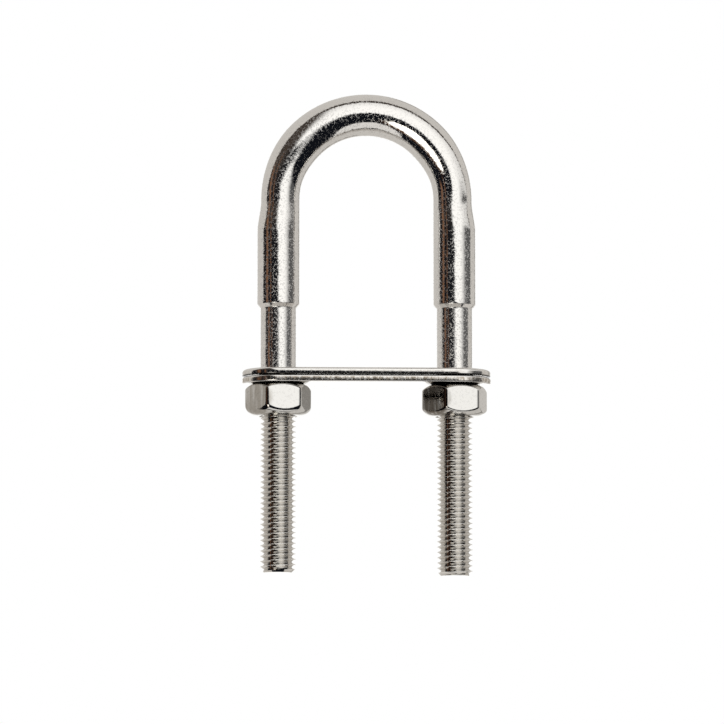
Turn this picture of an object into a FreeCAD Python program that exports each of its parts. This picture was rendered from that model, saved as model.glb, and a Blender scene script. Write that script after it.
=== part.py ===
# U-bolt chainplate: one bent and turned rod, two plates slid over its legs and
# a hex nut on each leg. The origin lies midway between the legs, in the plane
# of the upper plate's underside, which meets the deck. +X runs from the left
# leg to the right leg and +Z points up towards the bow. Millimetres.
import FreeCAD, Part
import math
import os

import Sketcher

Vector = FreeCAD.Vector
doc = FreeCAD.newDocument("chainplate")

# The driving dimensions, in millimetres and degrees.
DIMENSIONS = {
    "leg_spacing": 50.0,
    "rod_diameter": 12.0,
    "crown_diameter": 11.95,
    "crown_inner_radius": 18.4,
    "crown_half_angle": 46.0,
    "waist_diameter": 11.0,
    "waist_half_angle": 83.0,
    "waist_length": 0.5,
    "waist_taper_length": 10.0,
    "bend_rise": 31.05,
    "shoulder_rise": 17.7,
    "shoulder_chamfer_length": 1.0,
    "shank_diameter": 10.05,
    "thread_diameter": 9.97,
    "left_stud_length": 44.3,
    "right_stud_length": 45.1,
    "stud_end_chamfer": 1.0,
    "plate_thickness": 1.85,
    "plate_gap": 0.3,
    "plate_end_radius": 10.25,
    "plate_edge_radius": 0.5,
    "hole_clearance": 0.3,
    "nut_height": 9.1,
    "nut_flats": 16.75,
    "nut_edge_radius": 1.0,
    "nut_face_diameter": 13.4,
    "nut_chamfer_angle": 34.0,
    "nut_thread_clearance": 0.05,
    "nut_countersink": 0.5,
    "left_nut_turn": 10.0,
    "right_nut_turn": 12.5,
}

# The places that follow from them and that more than one piece reads.
PLACES = {
    "leg_offset": "leg_spacing / 2",
    "shoulder_height": "plate_thickness + shoulder_rise",
    "bend_height": "shoulder_height + bend_rise",
    "crown_radius": "crown_inner_radius + crown_diameter / 2",
    "waist_radius": "leg_offset - rod_diameter / 2 + waist_diameter / 2",
    "waist_foot_height": "bend_height - waist_length",
    "straight_top_height": "waist_foot_height - waist_taper_length",
    "lower_plate_height": "0 - plate_gap - plate_thickness",
    "nut_foot_height": "lower_plate_height - nut_height",
    "hole_radius": "shank_diameter / 2 + hole_clearance",
    "nut_bore_radius": "thread_diameter / 2 + nut_thread_clearance",
    "nut_corner_radius": "nut_flats / 2 / cos(30)",
}


def make_sheet():
    """The sizes, one to a row, each with its alias."""
    sheet = doc.addObject("Spreadsheet::Sheet", "sizes")
    row = 0
    for alias, value in DIMENSIONS.items():
        row += 1
        sheet.set(f"A{row}", alias)
        sheet.set(f"B{row}", str(value))
        sheet.setAlias(f"B{row}", alias)
    for alias, formula in PLACES.items():
        row += 1
        sheet.set(f"A{row}", alias)
        sheet.set(f"B{row}", "=" + formula)
        sheet.setAlias(f"B{row}", alias)
    doc.recompute()


def make_body(name):
    """A body whose label is the name of its part file."""
    body = doc.addObject("PartDesign::Body", name)
    body.Label = name
    return body


def make_sketch(body, name, role):
    """A sketch on one of the body's own origin planes."""
    sketch = body.newObject("Sketcher::SketchObject", name)
    plane = [item for item in body.Origin.OriginFeatures if item.Role == role][0]
    sketch.AttachmentSupport = [(plane, "")]
    sketch.MapMode = "FlatFace"
    return sketch


def constrain(sketch, *terms, size=None):
    """One constraint, tied to a formula of the sheet if it has a size."""
    if size is None:
        sketch.addConstraint(Sketcher.Constraint(*terms))
        return
    start = float(sketch.evalExpression(size))
    index = sketch.addConstraint(Sketcher.Constraint(*terms, start))
    sketch.setExpression(f"Constraints[{index}]", size)


def draw_outline(sketch, corners):
    """A closed run of straight lines through corners given as formulas."""
    points = []
    for across, up in corners:
        place = Vector(float(sketch.evalExpression(across)), float(sketch.evalExpression(up)), 0)
        points.append(place)
    first = sketch.GeometryCount
    count = len(points)
    for number in range(count):
        line = Part.LineSegment(points[number], points[(number + 1) % count])
        sketch.addGeometry(line)
    for number in range(count):
        constrain(sketch, "Coincident", first + number, 2, first + (number + 1) % count, 1)
    for number, (across, up) in enumerate(corners):
        constrain(sketch, "DistanceX", -1, 1, first + number, 1, size=across)
        constrain(sketch, "DistanceY", -1, 1, first + number, 1, size=up)


def bow_stations():
    """The bow's cross-sections from the left leg over the crown to the right.

    Each has a name, its centre's two formulas, its turn from the crown and its
    diameter. The bend squeezes the rod at the crown and more at its two ends.
    """
    rod = "sizes.rod_diameter"
    waist = "sizes.waist_diameter"
    crown = "sizes.crown_diameter"
    taper_foot = "sizes.straight_top_height + sizes.waist_taper_length * 0.15"
    side = [
        ("leg_foot", "sizes.leg_offset", "sizes.straight_top_height", "90", rod),
        ("taper_foot", "sizes.leg_offset", taper_foot, "90", rod),
        ("waist_foot", "sizes.waist_radius", "sizes.waist_foot_height", "90", waist),
    ]
    for name, turn, radius, diameter in (
        ("waist_top", "sizes.waist_half_angle", "sizes.waist_radius", waist),
        ("crown_end", "sizes.crown_half_angle", "sizes.crown_radius", crown),
        ("crown_side", "sizes.crown_half_angle / 2", "sizes.crown_radius", crown),
    ):
        across = f"{radius} * sin({turn})"
        up = f"sizes.bend_height + {radius} * cos({turn})"
        side.append((name, across, up, turn, diameter))
    left = []
    right = []
    for name, across, up, turn, diameter in side:
        left.append(("left_" + name, "0 - " + across, up, "0 - " + turn, diameter))
        right.insert(0, ("right_" + name, across, up, turn, diameter))
    top = ("crown_top", "0", "sizes.bend_height + sizes.crown_radius", "0", crown)
    return left + [top] + right


def add_bow(body):
    """The bent part of the rod: a loft through round sections set along it."""
    sections = []
    for name, across, up, turn, diameter in bow_stations():
        sketch = make_sketch(body, name, "XY_Plane")
        sketch.AttachmentOffset = FreeCAD.Placement(Vector(), FreeCAD.Rotation(Vector(0, 1, 0), -90))
        sketch.setExpression(".AttachmentOffset.Base.x", across)
        sketch.setExpression(".AttachmentOffset.Base.z", up)
        sketch.setExpression(".AttachmentOffset.Rotation.Angle", f"{turn} - 90")
        start = float(sketch.evalExpression(diameter)) / 2
        sketch.addGeometry(Part.Circle(Vector(), Vector(0, 0, 1), start))
        constrain(sketch, "Coincident", 0, 3, -1, 1)
        constrain(sketch, "Diameter", 0, size=diameter)
        sections.append(sketch)
    bow = body.newObject("PartDesign::AdditiveLoft", "bow")
    bow.Profile = sections[0]
    bow.Sections = sections[1:]
    bow.Refine = False


def add_leg(body, side, sign):
    """A turned leg: rod, chamfered shoulder, plain shank and thread stock."""
    offset = f"{sign} * sizes.leg_offset"
    end = f"sizes.nut_foot_height - sizes.{side}_stud_length"
    thread = "sizes.thread_diameter / 2"
    shank = "sizes.shank_diameter / 2"
    rod = "sizes.rod_diameter / 2"
    shoulder = "sizes.shoulder_height"
    profile = [
        (thread, f"{end} + sizes.stud_end_chamfer"),
        (f"{thread} - sizes.stud_end_chamfer", end),
        ("0", end),
        ("0", "sizes.straight_top_height"),
        (rod, "sizes.straight_top_height"),
        (rod, f"{shoulder} + sizes.shoulder_chamfer_length"),
        (shank, shoulder),
        (shank, "sizes.plate_thickness"),
        (thread, "sizes.plate_thickness"),
    ]
    sketch = make_sketch(body, side + "_leg_profile", "XZ_Plane")
    sketch.setExpression(".AttachmentOffset.Base.x", offset)
    draw_outline(sketch, profile)
    leg = body.newObject("PartDesign::Revolution", side + "_leg")
    leg.Profile = sketch
    leg.ReferenceAxis = (sketch, ["V_Axis"])
    leg.Angle = 360
    leg.Refine = False


def make_u_bolt():
    body = make_body("u_bolt")
    add_bow(body)
    add_leg(body, "left", -1)
    add_leg(body, "right", 1)
    return body


def outline_edges(shape, radius):
    """The names of the edges round a plate's two faces, without its holes."""
    names = []
    for number, edge in enumerate(shape.Edges, 1):
        level = abs(edge.BoundBox.ZLength) < 1e-6
        is_hole = hasattr(edge.Curve, "Radius") and edge.Curve.Radius < radius - 1e-6
        if level and not is_hole:
            names.append(f"Edge{number}")
    return names


def make_plate(name, height):
    """A round-ended plate with a hole for each leg and softened edges."""
    body = make_body(name)
    sketch = make_sketch(body, name + "_outline", "XY_Plane")
    half = float(sketch.evalExpression("sizes.leg_offset"))
    radius = float(sketch.evalExpression("sizes.plate_end_radius"))
    hole = float(sketch.evalExpression("sizes.hole_radius"))
    turn = Vector(0, 0, 1)
    quarter = math.pi / 2
    right_end = Part.ArcOfCircle(Part.Circle(Vector(half, 0, 0), turn, radius), -quarter, quarter)
    left_end = Part.ArcOfCircle(Part.Circle(Vector(-half, 0, 0), turn, radius), quarter, 3 * quarter)
    sketch.addGeometry(right_end)
    sketch.addGeometry(Part.LineSegment(Vector(half, radius, 0), Vector(-half, radius, 0)))
    sketch.addGeometry(left_end)
    sketch.addGeometry(Part.LineSegment(Vector(-half, -radius, 0), Vector(half, -radius, 0)))
    sketch.addGeometry(Part.Circle(Vector(half, 0, 0), turn, hole))
    sketch.addGeometry(Part.Circle(Vector(-half, 0, 0), turn, hole))
    for number in range(4):
        constrain(sketch, "Tangent", number, 2, (number + 1) % 4, 1)
    constrain(sketch, "Horizontal", 1)
    constrain(sketch, "PointOnObject", 0, 3, -1)
    constrain(sketch, "Symmetric", 0, 3, 2, 3, -1, 1)
    constrain(sketch, "DistanceX", -1, 1, 0, 3, size="sizes.leg_offset")
    constrain(sketch, "Radius", 0, size="sizes.plate_end_radius")
    constrain(sketch, "Coincident", 4, 3, 0, 3)
    constrain(sketch, "Coincident", 5, 3, 2, 3)
    constrain(sketch, "Equal", 4, 5)
    constrain(sketch, "Radius", 4, size="sizes.hole_radius")
    blank = body.newObject("PartDesign::Pad", name + "_blank")
    blank.Profile = sketch
    blank.setExpression("Length", "sizes.plate_thickness")
    doc.recompute()
    edges = body.newObject("PartDesign::Fillet", name + "_edges")
    edges.Base = (blank, outline_edges(blank.Shape, radius))
    edges.setExpression("Radius", "min(sizes.plate_edge_radius; sizes.plate_thickness * 0.45)")
    body.setExpression(".Placement.Base.z", height)
    return body


def upright_edges(shape):
    """The names of the edges that run straight up."""
    names = []
    for number, edge in enumerate(shape.Edges, 1):
        box = edge.BoundBox
        if box.ZLength > box.XLength + box.YLength:
            names.append(f"Edge{number}")
    return names


def make_nut(name, side, sign):
    """A hex nut with rounded corners, chamfered faces and countersunk mouths."""
    body = make_body(name)
    hexagon = make_sketch(body, name + "_hexagon", "XY_Plane")
    corner = "sizes.nut_corner_radius"
    turns = range(0, 360, 60)
    draw_outline(hexagon, [(f"{corner} * cos({turn})", f"{corner} * sin({turn})") for turn in turns])
    block = body.newObject("PartDesign::Pad", name + "_block")
    block.Profile = hexagon
    block.setExpression("Length", "sizes.nut_height")
    doc.recompute()
    corners = body.newObject("PartDesign::Fillet", name + "_corners")
    corners.Base = (block, upright_edges(block.Shape))
    corners.setExpression("Radius", "sizes.nut_edge_radius")

    chamfers = make_sketch(body, name + "_chamfer_profile", "XZ_Plane")
    face = "sizes.nut_face_diameter / 2"
    outside = f"{corner} + 1"
    drop = f"({outside} - {face}) * tan(sizes.nut_chamfer_angle)"
    top = "sizes.nut_height"
    above = f"{top} + 1"
    draw_outline(chamfers, [(face, top), (outside, f"{top} - {drop}"), (outside, above), (face, above)])
    draw_outline(chamfers, [(face, "0"), (face, "0 - 1"), (outside, "0 - 1"), (outside, drop)])
    turned = body.newObject("PartDesign::Groove", name + "_chamfers")
    turned.Profile = chamfers
    turned.ReferenceAxis = (chamfers, ["V_Axis"])
    turned.Angle = 360

    bore = make_sketch(body, name + "_bore_profile", "XZ_Plane")
    wall = "sizes.nut_bore_radius"
    sink = "sizes.nut_countersink"
    mouth = f"{wall} + {sink}"
    lower_half = [("0", "0"), (mouth, "0"), (wall, sink)]
    upper_half = [(wall, f"{top} - {sink}"), (mouth, top), ("0", top)]
    draw_outline(bore, lower_half + upper_half)
    drilled = body.newObject("PartDesign::Groove", name + "_bore")
    drilled.Profile = bore
    drilled.ReferenceAxis = (bore, ["V_Axis"])
    drilled.Angle = 360

    body.setExpression(".Placement.Base.x", f"{sign} * sizes.leg_offset")
    body.setExpression(".Placement.Base.z", "sizes.nut_foot_height")
    body.setExpression(".Placement.Rotation.Angle", f"sizes.{side}_nut_turn")
    return body


def check(pieces):
    """Stops with a plain message if anything failed to build."""
    for item in doc.Objects:
        if "Invalid" in item.State or "Error" in item.State:
            raise RuntimeError(f"{item.Name} failed: {item.State}")
    for piece in pieces:
        if piece.Shape.isNull() or not piece.Shape.isValid() or len(piece.Shape.Solids) != 1:
            raise RuntimeError(f"{piece.Label} is not one valid solid")


make_sheet()
pieces = [
    make_u_bolt(),
    make_plate("upper_plate", "0"),
    make_plate("lower_plate", "sizes.lower_plate_height"),
    make_nut("left_nut", "left", -1),
    make_nut("right_nut", "right", 1),
]
doc.recompute()
check(pieces)
os.makedirs("parts", exist_ok=True)
for piece in pieces:
    piece.Shape.exportStep(f"parts/{piece.Label}.step")
    print(piece.Label, round(piece.Shape.Volume), "cubic millimetres")
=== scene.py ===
import bmesh
import bpy
import math
from mathutils import Matrix, Vector


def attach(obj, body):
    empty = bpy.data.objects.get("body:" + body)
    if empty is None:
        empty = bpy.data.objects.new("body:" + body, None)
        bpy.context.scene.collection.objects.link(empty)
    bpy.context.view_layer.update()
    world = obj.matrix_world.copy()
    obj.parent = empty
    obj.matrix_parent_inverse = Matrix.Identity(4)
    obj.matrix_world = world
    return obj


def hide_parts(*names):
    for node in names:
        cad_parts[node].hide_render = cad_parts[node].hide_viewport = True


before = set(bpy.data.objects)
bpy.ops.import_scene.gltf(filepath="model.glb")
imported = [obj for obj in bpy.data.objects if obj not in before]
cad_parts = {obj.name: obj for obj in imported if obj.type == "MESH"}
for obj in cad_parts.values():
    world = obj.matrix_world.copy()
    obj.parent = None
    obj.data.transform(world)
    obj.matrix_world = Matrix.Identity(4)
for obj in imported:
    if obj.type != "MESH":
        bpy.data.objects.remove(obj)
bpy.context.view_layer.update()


# The camera. A long lens looks square on at the bow, from a little to the left
# and from under the plates, so that both legs stand upright in the picture.
camera_turn = math.radians(-2.3)
camera_rise = math.radians(-6.1)
camera_distance = 1.417
camera_target = Vector((-0.00125, 0.0, 0.00433))
sensor_width = 36.0
lens_length = 248.6
furthest_seen = 50.0

camera = bpy.data.objects.new("camera", bpy.data.cameras.new("camera"))
bpy.context.scene.collection.objects.link(camera)
bpy.context.scene.camera = camera
camera.data.sensor_width = sensor_width
camera.data.lens = lens_length
camera.data.clip_end = furthest_seen
towards_camera = Vector((
    math.sin(camera_turn) * math.cos(camera_rise),
    -math.cos(camera_turn) * math.cos(camera_rise),
    math.sin(camera_rise),
))
camera.location = camera_target + towards_camera * camera_distance
camera.rotation_euler = (-towards_camera).to_track_quat("-Z", "Y").to_euler()


# The studio. The part is set up in front of a pale table top, in a dim room with
# one large soft lamp up on the right, a small round one low on the left and a
# grey board underneath. Only polished metal shows them.
room_black = (0.006, 0.007, 0.010, 1.0)
ceiling_brown = (0.060, 0.048, 0.040, 1.0)
frame_brown = (0.22, 0.115, 0.065, 1.0)
board_grey = (0.84, 0.82, 0.79, 1.0)
round_lamp_white = (2.2, 2.15, 2.0, 1.0)
large_lamp_white = (1.25, 1.24, 1.21, 1.0)
table_grey = (0.66, 0.635, 0.60, 1.0)
box_grey = (0.28, 0.265, 0.245, 1.0)
backdrop_white = (1.15, 1.15, 1.14, 1.0)
plain_white = (1.0, 1.0, 1.0, 1.0)
paper_white = (0.95, 0.95, 0.95, 1.0)
paper_roughness = 0.9
near_frame_share = 0.8
warm_rim_share = 0.5
outer_dimming = 0.38
low_end_dimming = 0.88
most_dimming = 0.92
floor_height = -0.30
floor_radius = 12.0
floor_segments = 96


def feed(tree, socket, value):
    """Gives an input a number, a colour or another node's output."""
    if isinstance(value, bpy.types.NodeSocket):
        tree.links.new(value, socket)
    else:
        socket.default_value = value


def add_node(tree, kind, inputs=None, **settings):
    """One shader node with its settings and what its inputs are fed."""
    node = tree.nodes.new(kind)
    for name, value in settings.items():
        setattr(node, name, value)
    for name, value in (inputs or {}).items():
        feed(tree, node.inputs[name], value)
    return node


def calculate(tree, operation, *values):
    """The result of one sum on up to three values."""
    node = add_node(tree, "ShaderNodeMath", dict(enumerate(values)), operation=operation)
    return node.outputs[0]


def fade(tree, value, start, end):
    """0 where the value is at start, 1 where it is at end, soft in between."""
    inputs = {"Value": value, "From Min": start, "From Max": end}
    node = add_node(tree, "ShaderNodeMapRange", inputs, interpolation_type="SMOOTHSTEP")
    return node.outputs["Result"]


def all_of(tree, *masks):
    """The part that several masks share."""
    shared = masks[0]
    for mask in masks[1:]:
        shared = calculate(tree, "MULTIPLY", shared, mask)
    return shared


def band(tree, value, start, full_start, full_end, end):
    """1 between the two middle numbers, and soft out to 0 at the outer two."""
    return all_of(tree, fade(tree, value, start, full_start), fade(tree, value, end, full_end))


def blend_colour(tree, share, first, second):
    """The first colour where share is 0 and the second where it is 1."""
    node = add_node(tree, "ShaderNodeMix", data_type="RGBA")
    inputs = {"Factor": share, "A": first, "B": second}
    for socket in node.inputs:
        if socket.enabled and socket.name in inputs:
            feed(tree, socket, inputs[socket.name])
    return [socket for socket in node.outputs if socket.enabled][0]


def split(tree, vector):
    """The X, Y and Z of a vector."""
    return add_node(tree, "ShaderNodeSeparateXYZ", {0: vector}).outputs


def flat_length(tree, first, second):
    """The length of a flat vector, from its two parts."""
    flat = add_node(tree, "ShaderNodeCombineXYZ", {"X": first, "Y": second}).outputs[0]
    node = add_node(tree, "ShaderNodeVectorMath", {0: flat}, operation="LENGTH")
    return node.outputs["Value"]


world = bpy.data.worlds.new("studio")
bpy.context.scene.world = world
world.use_nodes = True
room = world.node_tree
room.nodes.clear()
direction = split(room, add_node(room, "ShaderNodeTexCoord").outputs["Generated"])
# How far a direction lies from straight ahead of the part, and how much of that
# is to the right and how much is up. All are in degrees, here and below.
angle = calculate(room, "ARCCOSINE", calculate(room, "MULTIPLY", direction["Y"], -1.0))
angle = calculate(room, "MULTIPLY", angle, math.degrees(1))
sideways = flat_length(room, direction["X"], direction["Z"])
stretch = calculate(room, "DIVIDE", angle, calculate(room, "MAXIMUM", sideways, 0.0001))
across = calculate(room, "MULTIPLY", direction["X"], stretch)
up = calculate(room, "MULTIPLY", direction["Z"], stretch)


def slanted(across_share, up_share, start):
    """How far a direction lies past a straight edge, negative before it."""
    upward = calculate(room, "MULTIPLY_ADD", up, up_share, start)
    return calculate(room, "MULTIPLY_ADD", across, across_share, upward)


def curved(middle, bend, up_share, start):
    """How far a direction lies past an edge that is bowed about its middle."""
    upward = calculate(room, "MULTIPLY_ADD", up, up_share, start)
    off_middle = calculate(room, "POWER", calculate(room, "SUBTRACT", across, middle), 2.0)
    return calculate(room, "MULTIPLY_ADD", off_middle, bend, upward)


def off_spot(spot_across, spot_up):
    """How far a direction lies from a spot."""
    off_across = calculate(room, "SUBTRACT", across, spot_across)
    off_up = calculate(room, "SUBTRACT", up, spot_up)
    return flat_length(room, off_across, off_up)


# The dark room: black low down, brown towards the ceiling, with two upright
# brown frames on the left at the height of the legs.
ceiling = fade(room, up, 4.0, 30.0)
near_frame = band(room, across, -46.0, -44.0, -42.0, -40.0)
far_frame = band(room, across, -71.0, -68.0, -62.0, -56.0)
frames = calculate(room, "MULTIPLY_ADD", near_frame, near_frame_share, far_frame)
frames = all_of(room, frames, band(room, up, -14.0, -2.0, 22.0, 34.0))
# The large lamp: a left and a lower edge that slant and meet in a cut-off
# corner, a bowed top edge, and less light towards its rim and its low right end.
left_edge = fade(room, slanted(1.0, 0.25, 7.0), -7.0, 7.0)
steep_corner = fade(room, slanted(0.8, 1.0, -7.4), -4.0, 4.0)
flat_corner = fade(room, slanted(0.35, 1.0, -6.7), -1.5, 1.5)
corner = calculate(room, "MAXIMUM", steep_corner, flat_corner)
lower_edge = fade(room, slanted(-0.15, 1.0, 15.5), -4.0, 4.0)
top_edge = fade(room, curved(4.0, 0.0062, 1.0, -67.0), 1.0, -1.0)
low_end = all_of(room, fade(room, across, 30.0, 76.0), fade(room, up, 20.0, 9.0))
dimmed = all_of(room, fade(room, off_spot(12.0, 20.0), 12.0, 70.0), outer_dimming)
dimmed = calculate(room, "MULTIPLY_ADD", low_end, low_end_dimming, dimmed)
dimmed = calculate(room, "MINIMUM", dimmed, most_dimming)
lit = calculate(room, "SUBTRACT", 1.0, dimmed)
large_lamp = all_of(room, left_edge, corner, lower_edge, top_edge, lit)
# The small round lamp, with a warm rim.
round_lamp = fade(room, off_spot(-22.4, -23.8), 17.5, 14.5)
warm_rim = all_of(room, fade(room, off_spot(-26.0, -28.0), 24.0, 17.0), warm_rim_share)
# The grey board underneath: a bowed far edge and a straight near one.
board_far_edge = fade(room, curved(2.0, -0.0125, -1.0, -46.0), -1.5, 1.5)
board = all_of(room, board_far_edge, fade(room, up, -81.5, -79.0))
# The table top all round, nearest at the top, with a dark box on it far back on
# the right, and the backdrop behind.
table_top_edge = fade(room, curved(5.0, 0.0075, 1.0, -80.0), -1.0, 1.0)
table = calculate(room, "MAXIMUM", table_top_edge, fade(room, angle, 94.0, 97.0))
box = all_of(room, band(room, angle, 136.0, 139.0, 143.0, 146.0), fade(room, across, 20.0, 40.0))
backdrop = fade(room, angle, 154.0, 164.0)

seen = blend_colour(room, ceiling, room_black, ceiling_brown)
for mask, light in (
    (frames, frame_brown),
    (warm_rim, frame_brown),
    (board, board_grey),
    (round_lamp, round_lamp_white),
    (large_lamp, large_lamp_white),
    (table, table_grey),
    (box, box_grey),
    (backdrop, backdrop_white),
):
    seen = blend_colour(room, mask, seen, light)
glossy = add_node(room, "ShaderNodeLightPath").outputs["Is Glossy Ray"]
seen = blend_colour(room, glossy, plain_white, seen)
background = add_node(room, "ShaderNodeBackground", {"Color": seen, "Strength": 1.0})
add_node(room, "ShaderNodeOutputWorld", {"Surface": background.outputs[0]})
bpy.context.scene.view_settings.view_transform = "Standard"

# The floor: a wide white sheet well below the studs.
sheet = bmesh.new()
bmesh.ops.create_circle(sheet, cap_ends=True, segments=floor_segments, radius=floor_radius)
bmesh.ops.translate(sheet, vec=(0, 0, floor_height), verts=sheet.verts)
floor = bpy.data.objects.new("floor", bpy.data.meshes.new("floor"))
sheet.to_mesh(floor.data)
sheet.free()
bpy.context.scene.collection.objects.link(floor)
floor.visible_glossy = False
white_paper = bpy.data.materials.new("white_paper")
white_paper.use_nodes = True
paper = white_paper.node_tree.nodes["Principled BSDF"]
paper.inputs["Base Color"].default_value = paper_white
paper.inputs["Roughness"].default_value = paper_roughness
floor.data.materials.append(white_paper)


# The U-bolt: one 12 mm stainless bar, turned down to 10 mm below two shoulders,
# threaded M10 x 1.5 by rolling, then bent hot round a former, which squeezes
# the bar a little over the bend and more at the bend's two ends.
mm = 0.001
leg_offset = 25.0 * mm
rod_radius = 6.0 * mm
crown_radius = 5.975 * mm
waist_radius = 5.5 * mm
crown_bend = 24.375 * mm
waist_bend = 24.5 * mm
bend_height = 50.6 * mm
crown_half_angle = math.radians(46)
waist_half_angle = math.radians(83)
waist_foot = 50.1 * mm
taper_foot = 41.6 * mm
shoulder_top = 20.55 * mm
shoulder_foot = 19.55 * mm
shank_radius = 5.025 * mm
shank_foot = 0.6 * mm
shank_foot_edge = 0.2 * mm
bar_segments = 96
bend_steps = 96
taper_steps = 12
pitch = 1.5 * mm
thread_slope = math.radians(60)
crest_radius = 5.02 * mm
crest_round = 0.12 * mm
root_round = 0.15 * mm
thread_top = 1.2 * mm
left_end = -55.55 * mm
right_end = -56.35 * mm
left_phase = 0.06 * mm
right_phase = 0.62 * mm
end_chamfer = 1.0 * mm
steps_a_turn = 48
crest_steps = 5
flank_shares = (0.12, 0.88)
spare_turns = 3
turn_weld = 0.002 * mm
end_weld = 0.004 * mm
cut_gap = 0.0001 * mm
crease = math.radians(32)
steel_grey = (0.80, 0.785, 0.765, 1.0)
# Painted shade for the thread's roots and painted light for its crests.
root_painted_shade = (0.70, 0.68, 0.65, 1.0)
crest_painted_light = (0.90, 0.885, 0.86, 1.0)
# How rough the steel is: 0 is a mirror.
bar_polish = 0.045
shank_polish = 0.135
root_polish = 0.02
crest_polish = 0.24
leg_pit_dullness = 0.30
bend_pit_dullness = 0.23
# Where in the noise a pit begins and where it is full, and how dark it is.
pit_rim = 0.53
pit_floor = 0.60
pit_shade = 0.95


def between(first, second, share):
    """A number part of the way from the first to the second."""
    return first + (second - first) * share


def ease(share):
    """Runs from 0 to 1 with soft ends."""
    share = min(max(share, 0.0), 1.0)
    return share * share * (3 - 2 * share)


def ring_place(side_reach, height, turn, radius):
    """The matrix that sets a circle of radius 1 square to the bar at a point."""
    point = Matrix.Translation((side_reach, 0, height))
    return point @ Matrix.Rotation(turn, 4, "Y") @ Matrix.Scale(radius, 4)


def bend_place(turn):
    """The ring at an angle from the crown, which runs from -90 to 90 degrees."""
    squeeze = ease((abs(turn) - crown_half_angle) / (waist_half_angle - crown_half_angle))
    bend = between(crown_bend, waist_bend, squeeze)
    radius = between(crown_radius, waist_radius, squeeze)
    height = bend_height + bend * math.cos(turn)
    return ring_place(bend * math.sin(turn), height, turn + math.pi / 2, radius)


def leg_places(side):
    """The rings of one leg from its hidden foot up to the end of the bend."""
    turn = 0 if side < 0 else math.pi
    rings = [
        (shank_foot, shank_foot_edge),
        (shank_foot, shank_radius - shank_foot_edge),
        (shank_foot + shank_foot_edge / 2, shank_radius),
    ]
    rings += [(height * mm, shank_radius) for height in (2.0, 8.0, 14.0)]
    # The shoulder's chamfer, with both its edges worn round.
    rings += [
        (shoulder_foot - 0.50 * mm, shank_radius),
        (shoulder_foot - 0.12 * mm, shank_radius),
        (shoulder_foot, shank_radius + 0.03 * mm),
        (shoulder_foot + 0.10 * mm, shank_radius + 0.16 * mm),
        (shoulder_top - 0.12 * mm, rod_radius - 0.14 * mm),
        (shoulder_top - 0.02 * mm, rod_radius - 0.03 * mm),
        (shoulder_top + 0.14 * mm, rod_radius),
        (shoulder_top + 0.50 * mm, rod_radius),
    ]
    rings += [(height * mm, rod_radius) for height in (26.0, 31.0, 36.0)]
    rings.append((taper_foot - 0.8 * mm, rod_radius))
    places = [ring_place(side * leg_offset, height, turn, radius) for height, radius in rings]
    for step in range(taper_steps + 1):
        share = step / taper_steps
        squeeze = ease(share)
        side_reach = side * between(leg_offset, waist_bend, squeeze)
        height = between(taper_foot, waist_foot, share)
        radius = between(rod_radius, waist_radius, squeeze)
        places.append(ring_place(side_reach, height, turn, radius))
    return places


def next_ring(mesh, edges):
    """A copy of a ring of edges, joined to it by faces: its verts and its edges."""
    made = bmesh.ops.extrude_edge_only(mesh, edges=edges)["geom"]
    ring = {item for item in made if isinstance(item, bmesh.types.BMVert)}
    edges = [item for item in made if isinstance(item, bmesh.types.BMEdge)]
    return list(ring), [edge for edge in edges if ring.issuperset(edge.verts)]


def sweep_rings(mesh, places, segments):
    """A tube through rings, with both ends closed."""
    circle = bmesh.ops.create_circle(mesh, cap_ends=True, segments=segments, radius=1.0)
    ring = circle["verts"]
    bmesh.ops.transform(mesh, matrix=places[0], verts=ring)
    edges = list({edge for vert in ring for edge in vert.link_edges})
    for before, after in zip(places, places[1:]):
        ring, edges = next_ring(mesh, edges)
        bmesh.ops.transform(mesh, matrix=after @ before.inverted(), verts=ring)
    bmesh.ops.holes_fill(mesh, edges=edges, sides=0)


def thread_form():
    """The thread's section over one pitch, crest to crest: heights and depths."""
    rounds = crest_round + root_round
    straight = pitch / 2 - rounds * math.sin(thread_slope)
    depth = rounds * (1 - math.cos(thread_slope)) + straight * math.tan(thread_slope)
    half = []
    for step in range(crest_steps + 1):
        turn = thread_slope * step / crest_steps
        half.append((crest_round * math.sin(turn), crest_round * (1 - math.cos(turn))))
    root = []
    for turn in (thread_slope, thread_slope / 2):
        height = pitch / 2 - root_round * math.sin(turn)
        root.append((height, depth - root_round * (1 - math.cos(turn))))
    crest_end = half[-1]
    for share in flank_shares:
        half.append(tuple(between(high, low, share) for high, low in zip(crest_end, root[0])))
    half += root
    other_half = [(pitch - height, deep) for height, deep in reversed(half)]
    return half + [(pitch / 2, depth)] + other_half


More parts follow.
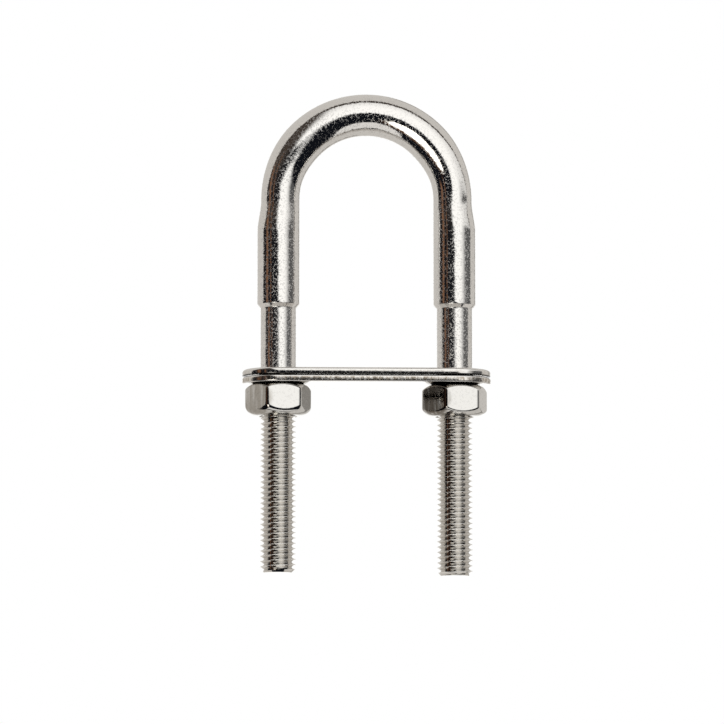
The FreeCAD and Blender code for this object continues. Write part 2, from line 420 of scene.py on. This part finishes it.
def cut_thread(mesh, side, end, phase):
    """A right-hand rolled thread from inside the plates down to the stud's end."""
    turns = math.ceil((thread_top - end) / pitch) + spare_turns
    foot = end - spare_turns / 2 * pitch + phase
    thread = bmesh.new()
    points = [(crest_radius - deep, 0, foot + height) for height, deep in thread_form()]
    verts = [thread.verts.new(point) for point in points]
    edges = [thread.edges.new(pair) for pair in zip(verts, verts[1:])]
    bmesh.ops.spin(
        thread, geom=verts + edges, steps=steps_a_turn, angle=2 * math.pi,
        cent=(0, 0, 0), axis=(0, 0, 1), dvec=(0, 0, pitch / steps_a_turn),
        space=Matrix.Identity(4), use_merge=False, use_normal_flip=False, use_duplicate=False,
    )
    first_turn = thread.verts[:] + thread.edges[:] + thread.faces[:]
    for turn in range(1, turns):
        made = bmesh.ops.duplicate(thread, geom=first_turn)["geom"]
        made = [item for item in made if isinstance(item, bmesh.types.BMVert)]
        bmesh.ops.translate(thread, vec=(0, 0, pitch * turn), verts=made)
    bmesh.ops.remove_doubles(thread, verts=thread.verts, dist=turn_weld)
    for height, outward in ((thread_top, 1), (end, -1)):
        everything = thread.verts[:] + thread.edges[:] + thread.faces[:]
        bmesh.ops.bisect_plane(
            thread, geom=everything, dist=cut_gap, plane_co=(0, 0, height),
            plane_no=(0, 0, outward), clear_outer=True, clear_inner=False,
        )
    for vert in thread.verts:
        limit = crest_radius - end_chamfer + (vert.co.z - end)
        width = math.hypot(vert.co.x, vert.co.y)
        if width > limit:
            vert.co.x *= limit / width
            vert.co.y *= limit / width
    bmesh.ops.remove_doubles(thread, verts=thread.verts, dist=end_weld)
    open_edges = [edge for edge in thread.edges if edge.is_boundary]
    bmesh.ops.holes_fill(thread, edges=open_edges, sides=0)
    bmesh.ops.recalc_face_normals(thread, faces=thread.faces)
    for face in thread.faces:
        face.material_index = 1
    bmesh.ops.translate(thread, vec=(side * leg_offset, 0, 0), verts=thread.verts)
    made = bpy.data.meshes.new("thread")
    thread.to_mesh(made)
    thread.free()
    mesh.from_mesh(made)
    bpy.data.meshes.remove(made)


def finish_piece(name, mesh, material):
    """The piece of that name, smooth but for edges sharper than the crease."""
    for face in mesh.faces:
        face.smooth = True
    for edge in mesh.edges:
        edge.smooth = edge.calc_face_angle(0.0) < crease
    piece = bpy.data.objects.new(name, bpy.data.meshes.new(name))
    mesh.to_mesh(piece.data)
    mesh.free()
    piece.data.materials.append(material)
    bpy.context.scene.collection.objects.link(piece)
    return piece


def object_place(tree):
    """A point's place in the part's own frame."""
    return add_node(tree, "ShaderNodeTexCoord").outputs["Object"]


def noise(tree, place, scale, detail, roughness=0.5):
    """A cloudy pattern of numbers about 0.5."""
    inputs = {"Vector": place, "Scale": scale, "Detail": detail, "Roughness": roughness}
    return add_node(tree, "ShaderNodeTexNoise", inputs).outputs[0]


def blend_number(tree, share, first, second):
    """The first number where share is 0 and the second where it is 1."""
    return calculate(tree, "MULTIPLY_ADD", share, second - first, first)


def make_steel_surface():
    """The group that every steel here uses: fine pits in the polish, and slow waves."""
    group = bpy.data.node_groups.new("steel_surface", "ShaderNodeTree")
    for name, kind, default in (
        ("Pit Size mm", "NodeSocketFloat", 0.8),
        ("Pit Depth mm", "NodeSocketFloat", 0.01),
        ("Pit Dullness", "NodeSocketFloat", 0.3),
        ("Wave Size mm", "NodeSocketFloat", 5.0),
        ("Wave Height mm", "NodeSocketFloat", 0.05),
        ("Polish", "NodeSocketFloat", 0.05),
        ("Colour", "NodeSocketColor", steel_grey),
    ):
        socket = group.interface.new_socket(name, in_out="INPUT", socket_type=kind)
        socket.default_value = default
    for name, kind in (
        ("Colour", "NodeSocketColor"),
        ("Roughness", "NodeSocketFloat"),
        ("Normal", "NodeSocketVector"),
    ):
        group.interface.new_socket(name, in_out="OUTPUT", socket_type=kind)
    given = group.nodes.new("NodeGroupInput").outputs
    place = object_place(group)
    pit_scale = calculate(group, "DIVIDE", 1 / mm, given["Pit Size mm"])
    wave_scale = calculate(group, "DIVIDE", 1 / mm, given["Wave Size mm"])
    grain = noise(group, place, pit_scale, 1.0, roughness=0.6)
    wave = noise(group, place, wave_scale, 1.0)
    pit = fade(group, grain, pit_rim, pit_floor)
    pit_depth = calculate(group, "MULTIPLY", grain, given["Pit Depth mm"])
    height = calculate(group, "MULTIPLY_ADD", wave, given["Wave Height mm"], pit_depth)
    bump = add_node(group, "ShaderNodeBump", {"Height": height, "Distance": mm, "Strength": 1.0})
    roughness = calculate(group, "MULTIPLY_ADD", pit, given["Pit Dullness"], given["Polish"])
    shade = {0: given["Colour"], 3: pit_shade}
    pit_colour = add_node(group, "ShaderNodeVectorMath", shade, operation="SCALE").outputs[0]
    made = group.nodes.new("NodeGroupOutput").inputs
    feed(group, made["Colour"], blend_colour(group, pit, given["Colour"], pit_colour))
    feed(group, made["Roughness"], roughness)
    feed(group, made["Normal"], bump.outputs[0])
    return group


steel_surface = make_steel_surface()


def make_steel(name, finish):
    """A steel whose finish is the shared surface with this piece's own values."""
    material = bpy.data.materials.new(name)
    material.use_nodes = True
    tree = material.node_tree
    surface = add_node(tree, "ShaderNodeGroup", name="surface", node_tree=steel_surface)
    for socket, value in finish.items():
        feed(tree, surface.inputs[socket], value)
    shader = tree.nodes["Principled BSDF"].inputs
    feed(tree, shader["Metallic"], 1.0)
    feed(tree, shader["Base Color"], surface.outputs["Colour"])
    feed(tree, shader["Roughness"], surface.outputs["Roughness"])
    feed(tree, shader["Normal"], surface.outputs["Normal"])
    return material


bar_steel = make_steel("bar_steel", {
    "Pit Size mm": 0.5,
    "Pit Depth mm": 0.012,
    "Wave Size mm": 5.0,
    "Wave Height mm": 0.05,
    "Colour": steel_grey,
})
# The turned shanks are a little duller than the drawn bar above them, and the
# bend has been polished further than the legs, which leaves its pits brighter.
tree = bar_steel.node_tree
surface = tree.nodes["surface"].inputs
height = split(tree, object_place(tree))["Z"]
turned = fade(tree, height, shoulder_foot + 0.1 * mm, shoulder_foot - 0.1 * mm)
feed(tree, surface["Polish"], blend_number(tree, turned, bar_polish, shank_polish))
polished = fade(tree, height, 42.0 * mm, 66.0 * mm)
dullness = blend_number(tree, polished, leg_pit_dullness, bend_pit_dullness)
feed(tree, surface["Pit Dullness"], dullness)

thread_steel = make_steel("thread_steel", {
    "Pit Size mm": 0.5,
    "Pit Depth mm": 0.0,
    "Pit Dullness": 0.05,
    "Wave Height mm": 0.0,
})
# The thread's roots are painted darker, as painted shade in the grooves, and its crests painted
# lighter, as painted light, and made a little dull.
tree = thread_steel.node_tree
surface = tree.nodes["surface"].inputs
place = split(tree, object_place(tree))
off_leg = calculate(tree, "SUBTRACT", calculate(tree, "ABSOLUTE", place["X"]), leg_offset)
reach = flat_length(tree, off_leg, place["Y"])
toward_crest = fade(tree, reach, 4.3 * mm, 4.85 * mm)
feed(tree, surface["Colour"], blend_colour(tree, toward_crest, root_painted_shade, crest_painted_light))
crest = fade(tree, reach, 4.85 * mm, 4.98 * mm)
feed(tree, surface["Polish"], blend_number(tree, crest, root_polish, crest_polish))

bar = bmesh.new()
places = leg_places(-1)
for step in range(bend_steps + 1):
    places.append(bend_place(math.radians(-90 + 180 * step / bend_steps)))
places += reversed(leg_places(1))
sweep_rings(bar, places, bar_segments)
bmesh.ops.recalc_face_normals(bar, faces=bar.faces)
cut_thread(bar, -1, left_end, left_phase)
cut_thread(bar, 1, right_end, right_phase)
u_bolt = finish_piece("u_bolt_steel", bar, bar_steel)
u_bolt.data.materials.append(thread_steel)
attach(u_bolt, "root")
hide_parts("u_bolt")


# The two plates: blanked from stainless sheet just under 2 mm thick, tumbled and
# polished. The punch leaves their edges leaning in a little towards the foot,
# and rough. They fit loosely round the legs, the lower one on top of the nuts.
plate_thickness = 1.85 * mm
plate_reach = 10.25 * mm
lower_plate_foot = -2.15 * mm
edge_lean = 0.05 * mm
edge_border = 0.3 * mm
edge_steps = 6
hole_radius = 5.325 * mm
hole_chamfer = 0.15 * mm
hole_segments = 64
plate_segments = 128
plate_polish = 0.05
plate_pit_depth = 0.002
stain_brown = (0.42, 0.37, 0.31, 1.0)
punched_grey = (0.78, 0.75, 0.71, 1.0)
# Painted shade for the dark gap between the two plates.
gap_shade_black = (0.09, 0.085, 0.08, 1.0)


def drawn_upright(tree, place, share):
    """Places with their heights made smaller, which draws a pattern out upright."""
    inputs = {"Vector": place, "Scale": (1.0, 1.0, share)}
    return add_node(tree, "ShaderNodeMapping", inputs).outputs[0]


def make_plate_steel(name, edge_polish, edge_pit_depth, edge_stain):
    """Polished sheet whose punched edge is rougher, darker and marked upright."""
    material = make_steel(name, {
        "Pit Size mm": 0.6,
        "Pit Dullness": 0.12,
        "Wave Size mm": 9.0,
        "Wave Height mm": 0.02,
    })
    tree = material.node_tree
    surface = tree.nodes["surface"].inputs
    place = add_node(tree, "ShaderNodeTexCoord").outputs
    facing_up = calculate(tree, "ABSOLUTE", split(tree, place["Normal"])["Z"])
    flank = fade(tree, facing_up, 0.25, 0.08)
    marks = noise(tree, drawn_upright(tree, place["Object"], 0.25), 2200.0, 1.0)
    edge = blend_colour(tree, fade(tree, marks, 0.40, 0.62), stain_brown, punched_grey)
    colour = blend_colour(tree, all_of(tree, flank, edge_stain), steel_grey, edge)
    # Painted shade along the edges, where the two plates face each other across the gap.
    parts = split(tree, place["Object"])
    past_leg = calculate(tree, "SUBTRACT", calculate(tree, "ABSOLUTE", parts["X"]), leg_offset)
    reach = flat_length(tree, calculate(tree, "MAXIMUM", past_leg, 0.0), parts["Y"])
    facing = band(tree, parts["Z"], -0.50 * mm, -0.31 * mm, 0.12 * mm, 0.40 * mm)
    gap_shade = all_of(tree, fade(tree, reach, 8.8 * mm, 9.8 * mm), facing)
    feed(tree, surface["Colour"], blend_colour(tree, gap_shade, colour, gap_shade_black))
    feed(tree, surface["Polish"], blend_number(tree, flank, plate_polish, edge_polish))
    feed(tree, surface["Pit Depth mm"], blend_number(tree, flank, plate_pit_depth, edge_pit_depth))
    return material


def set_outline(verts, reach, height):
    """Moves a ring onto the plate's round-ended outline, at a reach and a height."""
    for vert in verts:
        end = math.copysign(leg_offset, vert.co.x)
        turn = math.atan2(vert.co.y, vert.co.x - end)
        vert.co = (end + reach * math.cos(turn), reach * math.sin(turn), height)


def make_plate(name, foot, top_round, foot_round, material):
    """A plate: its punched edge and the walls of its holes, closed by two faces."""
    top_reach = plate_reach - top_round
    foot_reach = plate_reach - edge_lean - foot_round
    top_bend = plate_thickness - top_round
    quarter = [math.radians(90 * step / edge_steps) for step in range(edge_steps + 1)]
    profile = [(top_reach - edge_border, plate_thickness)]
    for turn in quarter:
        height = top_bend + top_round * math.cos(turn)
        profile.append((top_reach + top_round * math.sin(turn), height))
    for turn in quarter:
        height = foot_round * (1 - math.sin(turn))
        profile.append((foot_reach + foot_round * math.cos(turn), height))
    profile.append((foot_reach - edge_border, 0.0))
    plate = bmesh.new()
    half_step = Matrix.Rotation(math.pi / plate_segments, 4, "Z")
    circle = bmesh.ops.create_circle(
        plate, segments=plate_segments, radius=plate_reach, matrix=half_step,
    )
    ring = circle["verts"]
    for vert in ring:
        vert.co.x += math.copysign(leg_offset, vert.co.x)
    set_outline(ring, *profile[0])
    edges = list({edge for vert in ring for edge in vert.link_edges})
    top_edges = list(edges)
    for reach, height in profile[1:]:
        ring, edges = next_ring(plate, edges)
        set_outline(ring, reach, height)
    foot_edges = list(edges)
    mouth = hole_radius + hole_chamfer
    for side in (-1, 1):
        place = Matrix.Translation((side * leg_offset, 0, plate_thickness))
        circle = bmesh.ops.create_circle(plate, segments=hole_segments, radius=mouth, matrix=place)
        edges = list({edge for vert in circle["verts"] for edge in vert.link_edges})
        top_edges += edges
        for radius, height in (
            (hole_radius, plate_thickness - hole_chamfer),
            (hole_radius, hole_chamfer),
            (mouth, 0.0),
        ):
            ring, edges = next_ring(plate, edges)
            set_outline(ring, radius, height)
        foot_edges += edges
    bmesh.ops.triangle_fill(plate, use_beauty=True, edges=top_edges, normal=(0, 0, 1))
    bmesh.ops.triangle_fill(plate, use_beauty=True, edges=foot_edges, normal=(0, 0, -1))
    bmesh.ops.recalc_face_normals(plate, faces=plate.faces)
    bmesh.ops.translate(plate, vec=(0, 0, foot), verts=plate.verts)
    piece = finish_piece(name + "_steel", plate, material)
    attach(piece, "root")
    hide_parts(name)


upper_steel = make_plate_steel(
    "upper_plate_steel", edge_polish=0.08, edge_pit_depth=0.002, edge_stain=0.35,
)
lower_steel = make_plate_steel(
    "lower_plate_steel", edge_polish=0.17, edge_pit_depth=0.022, edge_stain=1.0,
)
make_plate("upper_plate", 0.0, 0.85 * mm, 0.25 * mm, upper_steel)
make_plate("lower_plate", lower_plate_foot, 0.55 * mm, 0.35 * mm, lower_steel)


# The two nuts: M10 hexagons in bright stainless, chamfered on both faces and
# countersunk at both mouths, run up the threads against the lower plate.
nut_height = 9.1 * mm
nut_foot = -11.25 * mm
half_flats = 8.375 * mm
corner_round = 1.2 * mm
face_radius = 5.9 * mm
face_edge = 0.12 * mm
bore_radius = 5.035 * mm
countersink = 0.5 * mm
dome_zone = 2.6 * mm
dome_steps = 28
nut_steps = 192
corner_crowding = 0.11
nut_grey = (0.72, 0.71, 0.69, 1.0)
# Painted shade for each nut's left flat, a painted dark reflection.
left_flat_shade = (0.42, 0.395, 0.36, 1.0)
right_flat_shade = (0.20, 0.175, 0.15, 1.0)

nut_steel = make_steel("nut_steel", {
    "Pit Size mm": 0.7,
    "Pit Depth mm": 0.004,
    "Pit Dullness": 0.10,
    "Wave Size mm": 6.0,
    "Wave Height mm": 0.03,
    "Polish": 0.05,
})
# Each nut's left flat is painted darker, streaked upright, the right nut's darker still: painted
# shade for the dark surroundings these flats reflect.
tree = nut_steel.node_tree
place = object_place(tree)
streaks = fade(tree, noise(tree, drawn_upright(tree, place, 0.12), 900.0, 2.0), 0.15, 0.55)
colour = nut_grey
for flat_middle, shade_colour in (
    ((-31.8 * mm, -6.0 * mm, -6.7 * mm), left_flat_shade),
    ((18.4 * mm, -6.2 * mm, -6.7 * mm), right_flat_shade),
):
    inputs = {0: place, 1: flat_middle}
    off_flat = add_node(tree, "ShaderNodeVectorMath", inputs, operation="DISTANCE")
    painted_shade = all_of(tree, fade(tree, off_flat.outputs["Value"], 6.2 * mm, 4.8 * mm), streaks)
    colour = blend_colour(tree, painted_shade, colour, shade_colour)
feed(tree, tree.nodes["surface"].inputs["Colour"], colour)


def nut_reach(turn, height, top_end, foot_end):
    """How far the nut's outside lies from its axis in a direction, at a height."""
    half_side = math.pi / 6
    off_corner = abs((turn + half_side) % (2 * half_side) - half_side)
    middle = (half_flats - corner_round) / math.cos(half_side)
    round_ends = math.atan2(
        corner_round * math.sin(half_side), middle + corner_round * math.cos(half_side),
    )
    if off_corner < round_ends:
        inward = middle * math.sin(off_corner)
        side = middle * math.cos(off_corner) + math.sqrt(corner_round ** 2 - inward ** 2)
    else:
        side = half_flats / math.cos(half_side - off_corner)
    above_face = max(min(height, nut_height - height), 0.0)
    start, dome_radius, softness = foot_end if height < nut_height / 2 else top_end
    dome = start + math.sqrt(2 * dome_radius * above_face)
    near = max(softness - abs(side - dome), 0)
    return min(side, dome) - near ** 2 / (4 * softness)


def make_nut(name, side, turned, top_end, foot_end):
    """A nut: a turned ring, drawn in to its hexagon and its domed ends.

    An end is given by where its dome starts, the dome's radius, and how soft
    its meeting with the flats is.
    """
    rises = [dome_zone * (step / dome_steps) ** 2 for step in range(dome_steps + 1)]
    levels = rises + [3.6 * mm, nut_height / 2, nut_height - 3.6 * mm]
    levels += [nut_height - rise for rise in reversed(rises)]
    mouth = bore_radius + countersink
    rim = face_radius - face_edge
    profile = [(bore_radius, countersink), (mouth, 0.0), (rim, 0.0)]
    profile += [(face_radius, level) for level in levels]
    profile += [(rim, nut_height), (mouth, nut_height), (bore_radius, nut_height - countersink)]
    nut = bmesh.new()
    verts = [nut.verts.new((reach, 0, height)) for reach, height in profile]
    edges = [nut.edges.new(pair) for pair in zip(verts, verts[1:] + verts[:1])]
    bmesh.ops.spin(
        nut, geom=verts + edges, steps=nut_steps, angle=2 * math.pi,
        cent=(0, 0, 0), axis=(0, 0, 1), dvec=(0, 0, 0),
        space=Matrix.Identity(4), use_merge=True, use_normal_flip=False, use_duplicate=False,
    )
    for vert in nut.verts:
        turn = math.atan2(vert.co.y, vert.co.x)
        turn -= corner_crowding * math.sin(6 * turn)
        reach = math.hypot(vert.co.x, vert.co.y)
        if reach > face_radius - face_edge / 2:
            reach = nut_reach(turn, vert.co.z, top_end, foot_end)
        vert.co.x = reach * math.cos(turn)
        vert.co.y = reach * math.sin(turn)
    bmesh.ops.recalc_face_normals(nut, faces=nut.faces)
    foot = Matrix.Translation((side * leg_offset, 0, nut_foot))
    bmesh.ops.transform(nut, matrix=foot @ Matrix.Rotation(turned, 4, "Z"), verts=nut.verts)
    piece = finish_piece(name + "_steel", nut, nut_steel)
    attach(piece, "root")
    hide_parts(name)


make_nut(
    "left_nut", -1, math.radians(10.0),
    top_end=(6.7 * mm, 2.45 * mm, 0.3 * mm), foot_end=(face_radius, 3.5 * mm, 1.0 * mm),
)
make_nut(
    "right_nut", 1, math.radians(12.5),
    top_end=(face_radius, 3.5 * mm, 0.3 * mm), foot_end=(face_radius, 3.5 * mm, 0.4 * mm),
)
